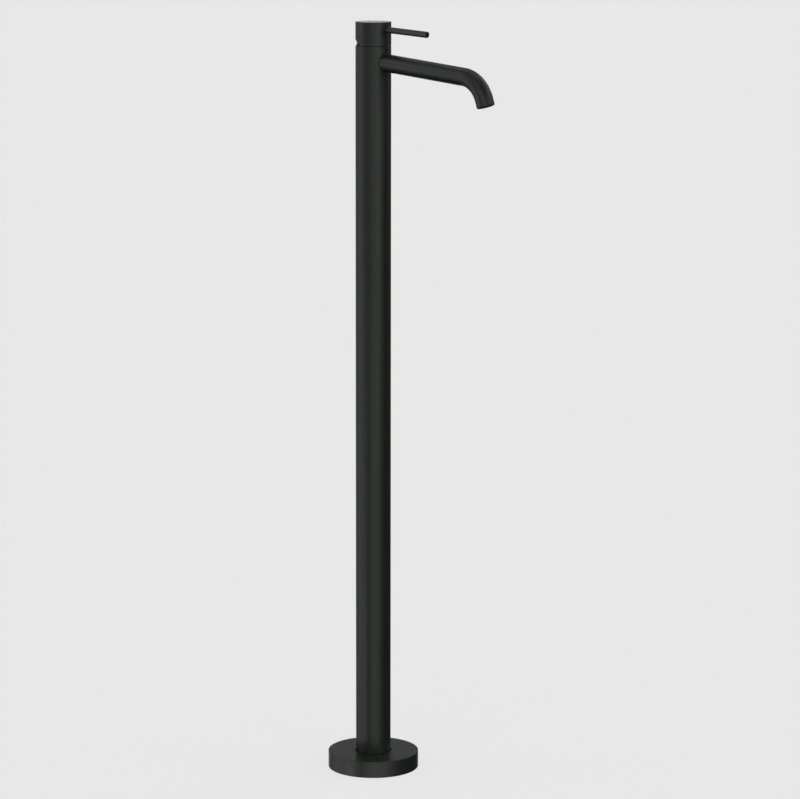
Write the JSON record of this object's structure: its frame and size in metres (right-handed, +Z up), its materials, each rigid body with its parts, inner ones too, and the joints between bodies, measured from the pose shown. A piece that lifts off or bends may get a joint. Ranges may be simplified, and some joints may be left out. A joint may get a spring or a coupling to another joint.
{
  "type": "floor-standing basin mixer",
  "caption": "Floor-standing single-lever basin mixer: slim round column, tilting and turning cap with a thin rod lever, down-curved spout and a round floor cover.",
  "frame": {"origin": "centre of the anchor bolt circle on the floor, on the column axis", "axes": "+Z up along the column, +X the way the spout and the closed lever point, +Y to the right of a user who faces the spout"},
  "size_m": [0.2912, 0.1298, 1.0727],
  "materials": {
    "black_finish": "matte black powder coat",
    "brass": "machined",
    "steel": "machined",
    "plate_steel": "zinc plated",
    "ceramic": "lapped",
    "rubber": "matte",
    "white_plastic": "moulded",
    "dark_plastic": "moulded"
  },
  "bodies": {
    "column": {"aerator_housing": "dark_plastic", "aerator_insert": "white_plastic", "aerator_washer": "rubber", "cartridge_base": "white_plastic", "cartridge_housing": "white_plastic", "cold_inlet_union": "brass", "cold_pipe_nut": "brass", "cold_supply_pipe": "steel", "column_foot_ring": "plate_steel", "column_grub_screws": "steel", "column_tube": "black_finish", "disc_seal": "rubber", "dome_cover": "black_finish", "fixed_ceramic_disc": "ceramic", "floor_plate": "plate_steel", "foot_cap_screws": "steel", "hot_inlet_union": "brass", "hot_pipe_nut": "brass", "hot_supply_pipe": "steel", "inlet_filter_washers": "rubber", "inlet_holder": "white_plastic", "pipe_spacers": "white_plastic", "port_seals": "rubber", "retaining_nut": "brass", "spout_grub_screw": "steel", "spout_nipple": "brass", "spout_o_rings": "rubber", "spout_tube": "black_finish", "valve_body": "brass"},
    "floor_cover": {"floor_cover": "black_finish", "floor_cover_ring": "rubber"},
    "rotor": {"cartridge_rotor": "white_plastic", "stem_pivot_pin": "steel"},
    "handle": {"cartridge_stem": "brass", "handle_cap": "black_finish", "lever_rod": "black_finish", "handle_grub_screw": "steel", "grub_screw_plug": "dark_plastic"},
    "disc": {"disc_carrier": "white_plastic", "moving_ceramic_disc": "ceramic"}
  },
  "joints": [
    {"name": "temperature_swivel", "type": "hinge", "parent": "column", "child": "rotor", "pos_m": [0, 0, 1.0345], "axis": [0, 0, 1], "range_deg": [-45, 45]},
    {"name": "flow_tilt", "type": "hinge", "parent": "rotor", "child": "handle", "pos_m": [0, 0, 1.0345], "axis": [0, -1, 0], "range_deg": [0, 25]},
    {"name": "disc_slide", "type": "slide", "parent": "rotor", "child": "disc", "axis": [1, 0, 0], "range_m": [0, 0.0035]},
    {"name": "floor_cover_lift", "type": "slide", "parent": "column", "child": "floor_cover", "axis": [0, 0, 1], "range_m": [0, 0.972]}
  ],
  "couplings": [
    {"joint": "disc_slide", "follows": "flow_tilt", "m_per_rad": 0.00794}
  ]
}
